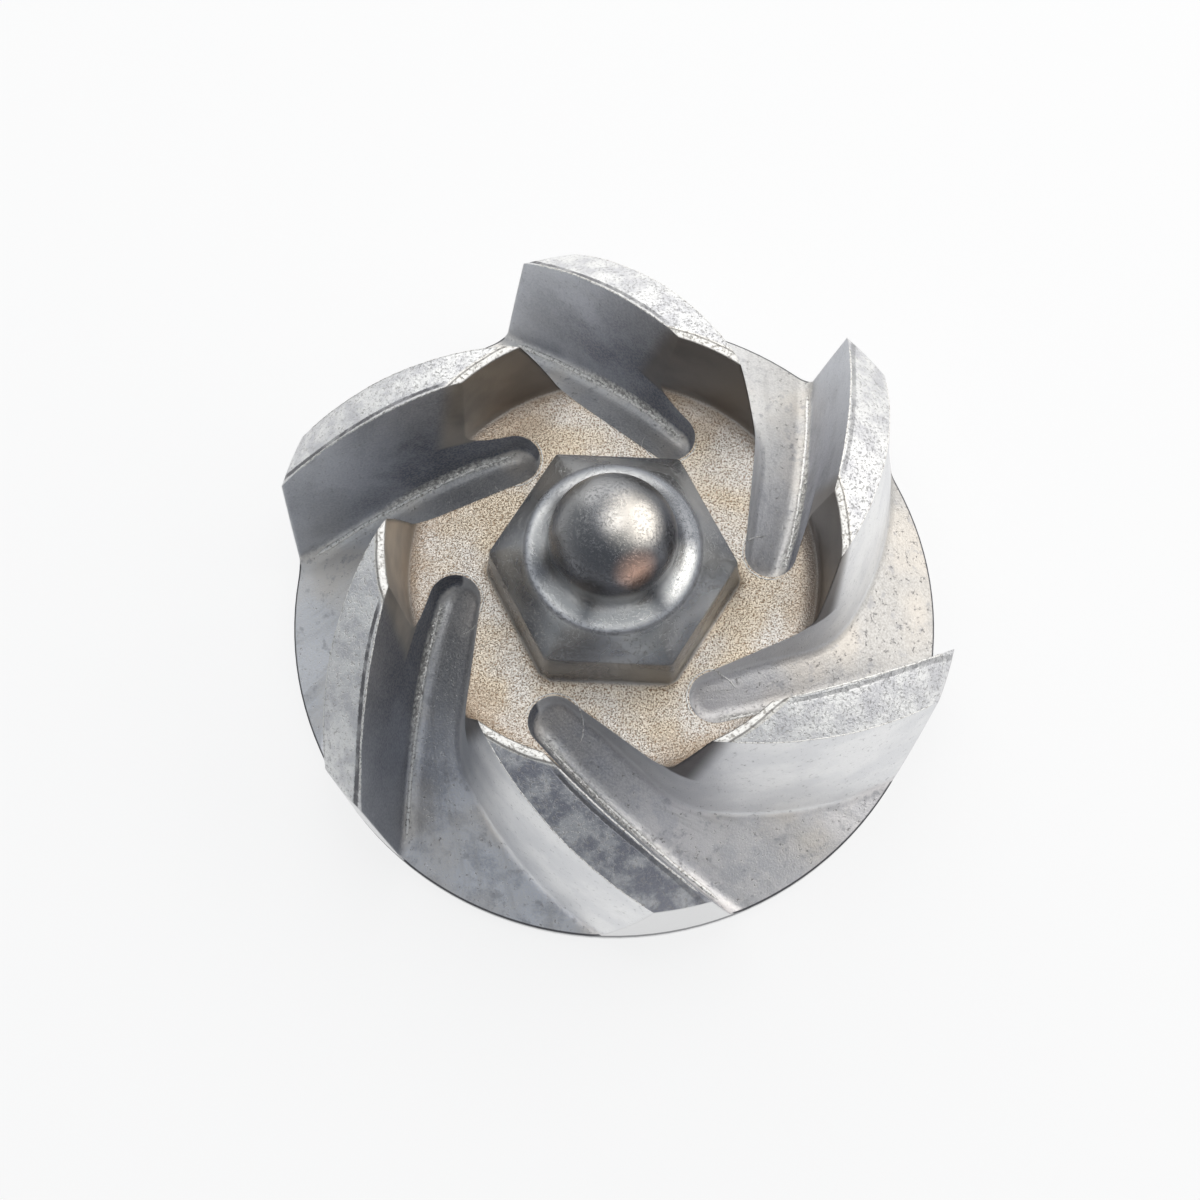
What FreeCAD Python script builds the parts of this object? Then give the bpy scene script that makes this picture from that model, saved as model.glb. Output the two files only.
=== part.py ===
import FreeCAD, Part
import math
import os
import Sketcher

# Open pump impeller, one aluminium die casting, standing on its back with the dome up.
# Origin on the axis at the back face. Millimetres, +Z towards the water inlet.

doc = FreeCAD.newDocument("pump_impeller")
sheet = doc.addObject("Spreadsheet::Sheet", "dims")

# Heights are measured from the disc's front edge. Angles run counter-clockwise from +X
# and belong to the first channel, whose arcs are those at the plateau's level.
SIZES = {
    "outer_diameter": 78.0,
    "rim_thickness": 2.0,
    "vane_count": 6,
    "eye_diameter": 49.0,
    "eye_foot_diameter": 46.8,
    "eye_height": 29.3,
    "eye_foot_radius": 2.5,
    "strip_width": 0.8,
    "tip_height": 19.2,
    "land_radius": 36.0,
    "plateau_height": 15.6,
    "finger_depth": 1.83,
    "wall_draft": 8.0,
    "channel_fillet": 1.5,
    "channel_overrun": 6.0,
    "floor_margin": 0.5,
    "mouth_margin": 1.0,
    "finger_radius": 2.95,
    "finger_pitch": 18.25,
    "finger_angle": 68.3,
    "pressure_arc": 150.0,
    "pressure_lean": 41.7,
    "inner_wall_angle": 143.0,
    "inner_wall_length": 12.6,
    "blend_arc": 11.0,
    "suction_arc": 42.2,
    "suction_lean": 89.9,
    "hex_flats": 24.0,
    "hex_height": 6.7,
    "hub_root": 1.0,
    "hex_angle": -3.1,
    "hex_draft": 5.0,
    "hex_foot_radius": 1.2,
    "hex_corner_radius": 0.7,
    "ring_rise": 3.6,
    "neck_fillet": 2.7,
    "dome_radius": 7.0,
    "neck_length": 0.65,
    "back_rim_width": 5.0,
    "boss_diameter": 21.0,
    "boss_root_diameter": 22.4,
    "bore_diameter": 10.2,
    "bore_depth": 24.0,
    "bore_mouth_diameter": 12.6,
    "bore_point_angle": 118.0,
}
for row, (alias, number) in enumerate(SIZES.items(), start=1):
    sheet.set("A%d" % row, alias)
    sheet.set("B%d" % row, str(number))
    sheet.setAlias("B%d" % row, alias)
doc.recompute()

START, END, CENTRE = 1, 2, 3
ORIGIN = (-1, 1)


def value(rule):
    """What a rule on the sheet's sizes comes to."""
    return float(sheet.evalExpression(rule))


def point(x_rule, y_rule):
    return FreeCAD.Vector(value(x_rule), value(y_rule), 0)


def plane_of(body, role):
    return [f for f in body.Origin.OriginFeatures if f.Role == role][0]


def new_sketch(body, name, role):
    sketch = body.newObject("Sketcher::SketchObject", name)
    sketch.AttachmentSupport = [(plane_of(body, role), "")]
    sketch.MapMode = "FlatFace"
    return sketch


def datum(sketch, name, rule, kind, *where):
    """A dimension of the sketch that follows a rule on the sheet's sizes."""
    index = sketch.addConstraint(Sketcher.Constraint(kind, *where, value(rule)))
    sketch.renameConstraint(index, name)
    sketch.setExpression("Constraints." + name, rule)


def pin(sketch, name, geometry, end, x_rule, y_rule):
    """Fixes one point of the sketch from the origin."""
    datum(sketch, name + "_x", x_rule, "DistanceX", *ORIGIN, geometry, end)
    datum(sketch, name + "_y", y_rule, "DistanceY", *ORIGIN, geometry, end)


def profile(body, name, corners, arcs=None, hollows=None):
    """Closed outline in the XZ plane, drawn clockwise. Each corner is a name and its two rules;
    arcs and hollows give the radius rule of each side that bulges outwards or inwards, by
    its first corner."""
    arcs = arcs or {}
    hollows = hollows or {}
    sketch = new_sketch(body, name, "XZ_Plane")
    places = [point(x_rule, y_rule) for label, x_rule, y_rule in corners]
    count = len(corners)
    for i, (label, x_rule, y_rule) in enumerate(corners):
        first, last = places[i], places[(i + 1) % count]
        if label in arcs or label in hollows:
            radius = value(arcs.get(label) or hollows.get(label))
            chord = last - first
            sagitta = radius - math.sqrt(radius ** 2 - (chord.Length / 2) ** 2)
            side = 1 if label in arcs else -1
            outward = FreeCAD.Vector(-chord.y, chord.x, 0).normalize() * side
            middle = (first + last) / 2 + outward * sagitta
            sketch.addGeometry(Part.Arc(first, middle, last), False)
        else:
            sketch.addGeometry(Part.LineSegment(first, last), False)
    # An arc that turns clockwise is stored the other way round, with its ends exchanged.
    ends = [(END, START) if label in arcs else (START, END) for label, x_rule, y_rule in corners]
    for i, (label, x_rule, y_rule) in enumerate(corners):
        following = (i + 1) % count
        sketch.addConstraint(Sketcher.Constraint("Coincident", i, ends[i][1],
                                                 following, ends[following][0]))
        pin(sketch, label, i, ends[i][0], x_rule, y_rule)
        if label in arcs or label in hollows:
            datum(sketch, label + "_radius", arcs.get(label) or hollows.get(label), "Radius", i)
    return sketch


def revolve(body, name, sketch, kind="PartDesign::Revolution"):
    feature = body.newObject(kind, name)
    feature.Profile = sketch
    feature.ReferenceAxis = (sketch, ["V_Axis"])
    feature.Angle = 360
    return feature


def edge_names(shape, wanted):
    return ["Edge%d" % (i + 1) for i, edge in enumerate(shape.Edges) if wanted(edge)]


OUTER = "dims.outer_diameter / 2"
PLATEAU = "dims.rim_thickness + dims.plateau_height"
FINGER_START = "(dims.finger_pitch - dims.finger_radius)"
FLOOR_SLOPE = "((dims.plateau_height - dims.finger_depth) / (%s - %s))" % (OUTER, FINGER_START)
FLOOR_ON_AXIS = "dims.rim_thickness + %s * %s" % (OUTER, FLOOR_SLOPE)

# Blank: the casting before its channels, with the eye, the raised plateau round the hub
# and the cored back, all turned about the axis.
blank = doc.addObject("PartDesign::Body", "blank")
cone_reach = "(%s - dims.back_rim_width)" % OUTER
boss_root = "dims.boss_root_diameter / 2"
blank_outline = profile(blank, "blank_outline", [
    ("back_centre", "0", "0"),
    ("plateau_centre", "0", PLATEAU),
    ("eye_foot", "dims.eye_foot_diameter / 2", PLATEAU),
    ("eye_edge", "dims.eye_diameter / 2", "dims.rim_thickness + dims.eye_height"),
    ("strip_edge", "dims.eye_diameter / 2 + dims.strip_width",
     "dims.rim_thickness + dims.eye_height"),
    ("tip", OUTER, "dims.rim_thickness + dims.tip_height"),
    ("rim", OUTER, "0"),
    ("rim_inner", cone_reach, "0"),
    ("cone_top", boss_root, "(%s - %s) * %s" % (cone_reach, boss_root, FLOOR_SLOPE)),
    ("boss_edge", "dims.boss_diameter / 2", "0"),
], arcs={"strip_edge": "dims.land_radius"})
blank_turned = revolve(blank, "blank_turned", blank_outline)
doc.recompute()


def is_circle(edge, radius, height, reach=0.01):
    curve = edge.Curve
    return (isinstance(curve, Part.Circle) and abs(curve.Radius - radius) < reach
            and abs(curve.Center.z - height) < reach)


eye_round = blank.newObject("PartDesign::Fillet", "eye_round")
foot_radius = value("dims.eye_foot_diameter / 2")
plateau_level = value(PLATEAU)
eye_round.Base = (blank_turned, edge_names(
    blank_turned.Shape, lambda e: is_circle(e, foot_radius, plateau_level)))
eye_round.setExpression("Radius", "dims.eye_foot_radius")
doc.recompute()

# Channel core: the space between two vanes. Its outline is drawn at the level of the vanes'
# tops and narrows downwards with the draft; the floor is a cone that falls to the rim.
core = doc.addObject("PartDesign::Body", "channel_core")


def polar(radius, degrees):
    angle = math.radians(degrees)
    return FreeCAD.Vector(radius * math.cos(angle), radius * math.sin(angle), 0)


def circles_meet(first, first_radius, second, second_radius, side):
    """Meeting point of two circles, on the given side of the line between their centres."""
    gap = second - first
    along = (gap.Length ** 2 + first_radius ** 2 - second_radius ** 2) / (2 * gap.Length)
    across = math.sqrt(first_radius ** 2 - along ** 2)
    unit = FreeCAD.Vector(gap).normalize()
    return first + unit * along + FreeCAD.Vector(-unit.y, unit.x, 0) * across * side


def arc_between(centre, radius, first, last):
    """Counter-clockwise arc from one point to another."""
    angles = [math.atan2(p.y - centre.y, p.x - centre.x) for p in (first, last)]
    return Part.ArcOfCircle(Part.Circle(centre, FreeCAD.Vector(0, 0, 1), radius), *angles)


DRAFT_GAIN = "((dims.eye_height - dims.plateau_height) * tan(dims.wall_draft * 1 deg))"
PRESSURE = "(dims.pressure_arc + %s)" % DRAFT_GAIN
FINGER = "(dims.finger_radius + %s)" % DRAFT_GAIN
BLEND = "(dims.blend_arc - %s)" % DRAFT_GAIN
SUCTION = "(dims.suction_arc - %s)" % DRAFT_GAIN
REACH = "(%s + dims.channel_overrun)" % OUTER


def channel_outline(body):
    """Pressure wall, round finger end, hub wall, blend and suction wall, closed past the rim."""
    sketch = new_sketch(body, "channel_outline", "XY_Plane")
    sketch.setExpression("AttachmentOffset.Base.z", "dims.rim_thickness + dims.eye_height")
    radii = [value(rule) for rule in (PRESSURE, FINGER, BLEND, SUCTION, REACH)]
    pressure_radius, finger_radius, blend_radius, suction_radius, reach = radii
    axis = FreeCAD.Vector(0, 0, 0)
    finger = polar(value("dims.finger_pitch"), value("dims.finger_angle"))
    wall_way = polar(1, value("dims.inner_wall_angle"))
    wall_side = polar(1, value("dims.inner_wall_angle") - 90)
    pressure_way = polar(1, value("dims.pressure_lean"))
    suction_way = polar(1, value("dims.suction_lean"))
    pressure_centre = finger - pressure_way * (pressure_radius - finger_radius)
    finger_top = finger + pressure_way * finger_radius
    wall_start = finger - wall_side * finger_radius
    wall_end = wall_start + wall_way * value("dims.inner_wall_length")
    blend = wall_end - wall_side * blend_radius
    suction_centre = blend - suction_way * (suction_radius - blend_radius)
    blend_end = blend + suction_way * blend_radius
    pressure_end = circles_meet(axis, reach, pressure_centre, pressure_radius, -1)
    suction_end = circles_meet(axis, reach, suction_centre, suction_radius, -1)
    for arc in (arc_between(pressure_centre, pressure_radius, finger_top, pressure_end),
                arc_between(finger, finger_radius, wall_start, finger_top),
                Part.LineSegment(wall_start, wall_end),
                arc_between(blend, blend_radius, wall_end, blend_end),
                arc_between(suction_centre, suction_radius, blend_end, suction_end),
                arc_between(axis, reach, pressure_end, suction_end)):
        sketch.addGeometry(arc, False)
    pressure, end_round, wall, blending, suction, mouth = range(6)
    for join in ((pressure, START, end_round, END), (end_round, START, wall, START),
                 (wall, END, blending, START), (blending, END, suction, START)):
        sketch.addConstraint(Sketcher.Constraint("Tangent", *join))
    for join in ((suction, END, mouth, END), (pressure, END, mouth, START),
                 (mouth, CENTRE, *ORIGIN)):
        sketch.addConstraint(Sketcher.Constraint("Coincident", *join))
    for name, rule, geometry in (("pressure_radius", PRESSURE, pressure),
                                 ("finger_radius", FINGER, end_round),
                                 ("blend_radius", BLEND, blending),
                                 ("suction_radius", SUCTION, suction),
                                 ("mouth_radius", REACH, mouth)):
        datum(sketch, name, rule, "Radius", geometry)
    datum(sketch, "wall_length", "dims.inner_wall_length", "Distance", wall, START, wall, END)
    pin(sketch, "finger", end_round, CENTRE, "dims.finger_pitch * cos(dims.finger_angle * 1 deg)",
        "dims.finger_pitch * sin(dims.finger_angle * 1 deg)")
    datum(sketch, "pressure_x", "(%s - %s) * cos(dims.pressure_lean * 1 deg)"
          % (PRESSURE, FINGER), "DistanceX", pressure, CENTRE, end_round, CENTRE)
    datum(sketch, "suction_x", "(%s - %s) * cos(dims.suction_lean * 1 deg)"
          % (SUCTION, BLEND), "DistanceX", suction, CENTRE, blending, CENTRE)
    index = sketch.addConstraint(Sketcher.Constraint(
        "Angle", wall, math.radians(value("dims.inner_wall_angle"))))
    sketch.renameConstraint(index, "wall_angle")
    sketch.setExpression("Constraints.wall_angle", "dims.inner_wall_angle * 1 deg")
    return sketch


core_outline = channel_outline(core)
core_pad = core.newObject("PartDesign::Pad", "core_pad")
core_pad.Profile = core_outline
core_pad.SideType = "Two sides"
core_pad.setExpression("Length", "dims.channel_overrun")
core_pad.setExpression("Length2", "dims.eye_height + dims.floor_margin")
core_pad.setExpression("TaperAngle2", "-dims.wall_draft")
doc.recompute()
mouth = OUTER + " + dims.mouth_margin"
beyond = OUTER + " + 2 * dims.channel_overrun"
floor_outline = profile(core, "floor_outline", [
    ("floor_low", "0", "-2 * dims.channel_overrun"),
    ("floor_centre", "0", FLOOR_ON_AXIS),
    ("mouth_low", mouth, "dims.rim_thickness - dims.mouth_margin * " + FLOOR_SLOPE),
    ("mouth_high", mouth, "dims.rim_thickness + dims.eye_height + 2 * dims.channel_overrun"),
    ("far_high", beyond, "dims.rim_thickness + dims.eye_height + 2 * dims.channel_overrun"),
    ("far_low", beyond, "-2 * dims.channel_overrun"),
])
floor_cut = revolve(core, "floor_cut", floor_outline, "PartDesign::Groove")
doc.recompute()


def on_cone(vertex):
    """Whether a point lies on the channels' floor."""
    radius = math.hypot(vertex.X, vertex.Y)
    level = value(FLOOR_ON_AXIS) - radius * value(FLOOR_SLOPE)
    return abs(vertex.Z - level) < 0.01


def is_floor_edge(edge):
    """An edge between the floor and a wall of the channel."""
    radii = [math.hypot(v.X, v.Y) for v in edge.Vertexes]
    return all(on_cone(v) for v in edge.Vertexes) and min(radii) < value(OUTER)


core_round = core.newObject("PartDesign::Fillet", "core_round")
core_round.Base = (floor_cut, edge_names(floor_cut.Shape, is_floor_edge))
core_round.setExpression("Radius", "dims.channel_fillet")
doc.recompute()
cores = core.newObject("PartDesign::PolarPattern", "cores")
cores.TransformMode = "Whole shape"
cores.Axis = (core_outline, ["N_Axis"])
cores.Angle = 360
cores.setExpression("Occurrences", "dims.vane_count")
core.AllowCompound = True
core.Tip = cores
carved = doc.addObject("Part::Cut", "carved")
carved.Base = blank
carved.Tool = core
doc.recompute()

# Hub: a drafted hexagon with six sloping facets, and a dome that flares into a round ring.
hub = doc.addObject("PartDesign::Body", "hub")


def hexagon(body, name, level, flats):
    """Regular hexagon on a plane at the given level."""
    sketch = new_sketch(body, name, "XY_Plane")
    sketch.setExpression("AttachmentOffset.Base.z", level)
    corner_rule = "%s / 2 / cos(30 deg)" % flats
    radius = value(corner_rule)
    turn = value("dims.hex_angle")
    corners = [polar(radius, turn + 60 * i) for i in range(6)]
    for i in range(6):
        sketch.addGeometry(Part.LineSegment(corners[i], corners[(i + 1) % 6]), False)
    for i in range(6):
        sketch.addConstraint(Sketcher.Constraint("Coincident", i, END, (i + 1) % 6, START))
        angle = "((dims.hex_angle + %d) * 1 deg)" % (60 * i)
        pin(sketch, "corner%d" % i, i, START, "%s * cos%s" % (corner_rule, angle),
            "%s * sin%s" % (corner_rule, angle))
    return sketch


HEX_TOP = PLATEAU + " + dims.hex_height"
hex_outline = hexagon(hub, "hex_outline", HEX_TOP, "dims.hex_flats")
hex_sides = hub.newObject("PartDesign::Pad", "hex_sides")
hex_sides.Profile = hex_outline
hex_sides.Reversed = True
hex_sides.setExpression("Length", "dims.hex_height + dims.hub_root")
hex_sides.setExpression("TaperAngle", "dims.hex_draft")
doc.recompute()
RING = "(dims.dome_radius + dims.neck_fillet)"
RING_LEVEL = HEX_TOP + " + dims.ring_rise"
NECK_FOOT = RING_LEVEL + " + dims.neck_fillet"
NECK_TOP = NECK_FOOT + " + dims.neck_length"


def ring_outline(body, level):
    """Six arcs that make up the ring, parted at the hexagon's corners."""
    sketch = new_sketch(body, "ring_outline", "XY_Plane")
    sketch.setExpression("AttachmentOffset.Base.z", level)
    radius = value(RING)
    centre = FreeCAD.Vector(0, 0, 0)
    corners = [polar(radius, value("dims.hex_angle") + 60 * i) for i in range(6)]
    for i in range(6):
        sketch.addGeometry(arc_between(centre, radius, corners[i], corners[(i + 1) % 6]), False)
    for i in range(6):
        sketch.addConstraint(Sketcher.Constraint("Coincident", i, END, (i + 1) % 6, START))
        datum(sketch, "radius%d" % i, RING, "Radius", i)
        angle = "((dims.hex_angle + %d) * 1 deg)" % (60 * i)
        pin(sketch, "parting%d" % i, i, START, "%s * cos%s" % (RING, angle),
            "%s * sin%s" % (RING, angle))
    return sketch


hex_top = hub.newObject("PartDesign::AdditiveLoft", "hex_top")
hex_top.Profile = hexagon(hub, "facet_outline", HEX_TOP, "dims.hex_flats")
hex_top.Sections = [ring_outline(hub, RING_LEVEL)]
hex_top.Ruled = True
doc.recompute()


def is_hub_edge(edge):
    """An upright edge of the hexagon."""
    first, last = [v.Point for v in edge.Vertexes]
    turns = [math.atan2(p.y, p.x) for p in (first, last)]
    top = value(HEX_TOP)
    return (abs(first.z - last.z) > 1 and abs(turns[0] - turns[1]) < 0.01
            and max(first.z, last.z) < top + 0.01)


hub_round = hub.newObject("PartDesign::Fillet", "hub_round")
hub_round.Base = (hex_top, edge_names(hex_top.Shape, is_hub_edge))
hub_round.setExpression("Radius", "dims.hex_corner_radius")
doc.recompute()

dome = doc.addObject("PartDesign::Body", "dome")
dome_outline = profile(dome, "dome_outline", [
    ("hub_centre", "0", PLATEAU),
    ("dome_tip", "0", NECK_TOP + " + dims.dome_radius"),
    ("neck_top", "dims.dome_radius", NECK_TOP),
    ("neck_foot", "dims.dome_radius", NECK_FOOT),
    ("ring_edge", RING, RING_LEVEL),
    ("ring_foot", RING, PLATEAU),
], arcs={"dome_tip": "dims.dome_radius"}, hollows={"neck_foot": "dims.neck_fillet"})
revolve(dome, "dome_turned", dome_outline)
joined = doc.addObject("Part::MultiFuse", "joined")
joined.Shapes = [carved, hub, dome]
joined.Refine = True
doc.recompute()

# The casting as one body: the hub's foot is rounded into the plateau, and the blind bore
# for the shaft's thread is sunk from the back.
impeller = doc.addObject("PartDesign::Body", "impeller")
impeller.BaseFeature = joined
doc.recompute()


def is_hub_foot(edge):
    """An edge where the hexagon stands on the plateau."""
    reach = value("dims.hex_flats") / 2
    return (all(abs(v.Z - plateau_level) < 0.01 for v in edge.Vertexes)
            and all(reach < math.hypot(v.X, v.Y) < reach * 1.25 for v in edge.Vertexes))


as_joined = impeller.Tip
hub_foot = impeller.newObject("PartDesign::Fillet", "hub_foot")
hub_foot.Base = (as_joined, edge_names(as_joined.Shape, is_hub_foot))
hub_foot.setExpression("Radius", "dims.hex_foot_radius")
doc.recompute()

BORE = "dims.bore_diameter / 2"
MOUTH = "dims.bore_mouth_diameter / 2"
bore_outline = profile(impeller, "bore_outline", [
    ("bore_start", "0", "-dims.rim_thickness"),
    ("bore_tip", "0", "dims.bore_depth + %s / tan(dims.bore_point_angle / 2 * 1 deg)" % BORE),
    ("bore_end", BORE, "dims.bore_depth"),
    ("bore_mouth", BORE, "%s - %s" % (MOUTH, BORE)),
    ("mouth_edge", MOUTH, "0"),
    ("mouth_out", MOUTH, "-dims.rim_thickness"),
])
revolve(impeller, "bore", bore_outline, "PartDesign::Groove")
doc.recompute()

for feature in doc.Objects:
    if "Invalid" in feature.State or "Error" in feature.State:
        raise ValueError("%s is not built: %s" % (feature.Name, feature.getStatusString()))
shape = impeller.Shape
if shape.isNull() or not shape.isValid() or len(shape.Solids) != 1:
    raise ValueError("the casting is not one sound solid")
impeller.Label = "impeller"
os.makedirs("parts", exist_ok=True)
shape.exportStep("parts/%s.step" % impeller.Label)
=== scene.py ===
import bmesh
import bpy
import math
import random
from collections import namedtuple
from mathutils import Matrix, Vector
from mathutils.bvhtree import BVHTree


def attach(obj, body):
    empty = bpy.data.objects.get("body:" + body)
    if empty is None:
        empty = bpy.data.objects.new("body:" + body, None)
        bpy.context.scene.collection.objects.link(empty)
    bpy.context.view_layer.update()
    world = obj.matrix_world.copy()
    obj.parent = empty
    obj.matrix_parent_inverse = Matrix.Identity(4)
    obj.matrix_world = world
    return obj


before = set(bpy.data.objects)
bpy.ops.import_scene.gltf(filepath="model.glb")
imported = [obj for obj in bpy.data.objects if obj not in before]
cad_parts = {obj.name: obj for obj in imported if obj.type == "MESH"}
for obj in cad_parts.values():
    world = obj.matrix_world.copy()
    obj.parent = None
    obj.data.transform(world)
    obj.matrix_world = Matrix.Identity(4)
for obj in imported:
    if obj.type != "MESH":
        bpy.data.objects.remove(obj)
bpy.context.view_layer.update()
MM = 0.001
VANES = 6
SIXTH = math.radians(60.0)
FULL_TURN = 2 * math.pi
HALF_TURN_DEGREES = 180.0
DOWNWARDS = Vector((0.0, 0.0, -1.0))

# Camera: a front view from slightly below the axis.
FOCAL_MM = 57.0
SENSOR_MM = 36.0
NEAREST_SEEN = 0.01
CAMERA_DISTANCE = 231.86 * MM
CAMERA_TILT = 0.2837
CAMERA_ROLL = -0.0091
AIM_RIGHT = -0.0071
AIM_UP = 0.0076
AIM_POINT = Vector((0.0, 0.0, 2.0 * MM))

# Lamps: name, place, width and height in mm, watts, colour.
LAMPS = [
    ("right_box", (450, 130, 300), 700, 500, 1.65, (1.0, 0.97, 0.93)),
    ("far_box", (-60, 520, 230), 700, 400, 1.25, (1.0, 0.98, 0.95)),
    ("top_box", (-40, 140, 520), 420, 420, 0.8, (1.0, 1.0, 1.0)),
]
LAMP_TARGET = Vector((0.0, 0.0, 15 * MM))
SKY_COLOUR = (0.89, 0.94, 1.0, 1)
SKY_STRENGTH = 0.36

# Paper under the casting, in metres, just clear of it so that the two faces
# don't meet.
FLOOR_HALF_WIDTH = 1.5
FLOOR_LEVEL = -0.03 * MM
PAPER_COLOUR = (0.93, 0.93, 0.93, 1)
PAPER_ROUGHNESS = 0.9
PURE_WHITE = (1.0, 1.0, 1.0, 1)
PAPER_LIFT = 0.8

# Levels and radii of the casting's regions, in mm, and a finger's angle in
# degrees.
PLATEAU_LEVEL = 17.6
STRIP_LEVEL = 31.3
EYE_RADIUS = 24.5
EYE_FOOT_RADIUS = 23.4
LAND_RADIUS = 36.0
LAND_CENTRE_R = 11.40
LAND_CENTRE_Z = -1.92
RIM_RADIUS = 39.0
RIM_CORNER_LEVEL = 2.0
HUB_RADIUS = 14.2
DOME_LEVEL = 27.3
RING_RADIUS = 9.7
BORE_RADIUS = 5.1
FINGER_PITCH = 18.25
FINGER_ANGLE = 68.3
FINGER_RADIUS = 3.1

# Curves seen from above, each as (radius mm, angle degrees): the line where a
# vane's hollow side meets the channel floor, and the hollow and the round edge
# of the land on top. They were measured on this casting's surface, so they
# don't follow a change of its vanes.
ROOT_LINE = [(20.0, 66.0), (21.0, 72.1), (22.0, 76.7), (23.0, 80.7), (24.0, 84.0), (25.0, 87.1),
             (26.0, 89.8), (27.0, 92.2), (29.0, 96.4), (31.0, 99.9), (33.0, 103.0), (35.0, 105.8),
             (37.0, 108.2)]
LAND_EDGE = [(25.6, 76.4), (26.0, 77.9), (27.0, 81.2), (28.0, 84.2), (29.0, 86.9), (30.0, 89.3),
             (31.0, 91.6), (32.0, 93.7), (33.0, 95.6), (34.0, 97.4), (35.0, 99.1), (36.0, 100.8),
             (37.0, 102.3), (37.8, 103.5)]
ROUND_EDGE = [(25.6, 58.4), (26.0, 59.9), (27.0, 63.6), (28.0, 67.0), (29.0, 70.2), (30.0, 73.3),
              (31.0, 76.1), (32.0, 78.8), (33.0, 81.4), (34.0, 84.0), (35.0, 86.5), (36.0, 88.9),
              (37.0, 91.2), (37.8, 93.1), (38.5, 94.7)]
# The root line bends too sharply before this entry for the fitted parabola.
ROOT_FIT_START = 2
# The curves slant, so only this share of a turn away from one lies across it.
ACROSS_CURVE = 0.66

# Mottling of the metal: a noise, the band of values over which its spots fade
# in, a shift in mm and the path that it is laid along.
Pattern = namedtuple("Pattern", "scale detail roughness band shift path distortion",
                     defaults=(None, None, "place", 0.0))
PATTERNS = {
    "cloud": Pattern(0.13, 3.0, 0.55, (0.35, 0.65)),
    "flow": Pattern(0.75, 4.0, 0.6, (0.5, 0.72), path="flow"),
    "fine": Pattern(3.6, 3.0, 0.6, (0.38, 0.62)),
    "tooth": Pattern(8.0, 3.0, 0.65),
    "speck": Pattern(1.5, 4.0, 0.78, (0.58, 0.70), (7.0, 3.0, 1.0)),
    "bruise": Pattern(0.55, 4.0, 0.65, (0.55, 0.70), (1.0, 22.0, 9.0)),
    "stain": Pattern(0.09, 2.0, 0.5, (0.47, 0.68), (31.0, 12.0, 5.0)),
    "mottle": Pattern(0.30, 4.0, 0.62, (0.46, 0.60), (9.0, 3.0, 17.0)),
    "crumb": Pattern(2.2, 4.0, 0.7, (0.42, 0.6)),
    "pit": Pattern(2.9, 3.0, 0.75, (0.52, 0.66)),
    "patch": Pattern(0.38, 4.0, 0.65, (0.35, 0.65), (5.0, 40.0, 0.0)),
    "break": Pattern(0.5, 3.0, 0.6, (0.36, 0.52)),
    "grain": Pattern(5.0, 1.0, 0.5, (0.37, 0.52), distortion=0.4),
    "tone": Pattern(0.13, 2.0, 0.5, (0.35, 0.65), (2.0, 9.0, 0.0)),
    "smear": Pattern(0.2, 1.5, 0.4, (0.3, 0.7), path="squashed"),
    "turns": Pattern(6.0, 3.0, 0.7, path="height"),
    "rings": Pattern(5.5, 3.0, 0.7, path="outward"),
    "bore": Pattern(7.0, 3.0, 0.7, path="depth"),
}
BURR_CRUMBS = Pattern(2.6, 4.0, 0.7, (0.34, 0.52))
THREAD_MARKS = Pattern(1.0, 3.0, 0.6)
# The path of the flow marks: the circle that the angle past the root line is
# wound on, a slow climb outwards, and a slight drift with the place.
FLOW_ROUND = 26.0
FLOW_OUTWARD = 0.16
FLOW_DRIFT = (0.05, 0.05, 0.0)
SMEAR_SQUASH = (1.0, 1.0, 1.6)
THREAD_SQUASH = (0.4, 0.4, 9.0)

# Where a region lies, a pair is a band that it fades in or out over, and a
# triple is a middle, a reach to both sides and the fading beyond it. A
# roughness, breaks or a strength that is a pair is a slope and a start. Paint,
# pits, specks and glitter are a strength and a colour.

# Casting skin, as on the channel floors.
SKIN_BAND = (0.32, 0.68)
SKIN_COLOURS = (0.62, 0.625, 0.64, 1), (0.78, 0.78, 0.78, 1)
SKIN_ROUGHNESS = (0.24, 0.36)
SKIN_MARKS = [
    ("fine", 0.4, (0.86, 0.85, 0.83, 1)),
    ("flow", 0.35, (0.50, 0.49, 0.48, 1)),
    ("stain", 0.55, (0.78, 0.72, 0.64, 1)),
    ("bruise", 0.55, (0.40, 0.40, 0.42, 1)),
    ("speck", 0.7, (0.22, 0.21, 0.21, 1)),
]
SKIN_FINE_RISE = 0.05
SKIN_FLOW_RISE = 0.03
SKIN_CLOUD_RISE = 0.14
SKIN_SPECK_DEPTH = 0.05
# A bluish mottle of the skin, laid only towards the bottom and stronger on the left as painted
# shade.
MOTTLE_SHADE_COLOUR = (0.42, 0.44, 0.50, 1)
MOTTLE_SHADE_DOWN = (4.0, 26.0)
MOTTLE_SHADE_LEFTWARD = (10.0, -8.0)
MOTTLE_SHADE_STRENGTH = (0.25, 0.3)
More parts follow.
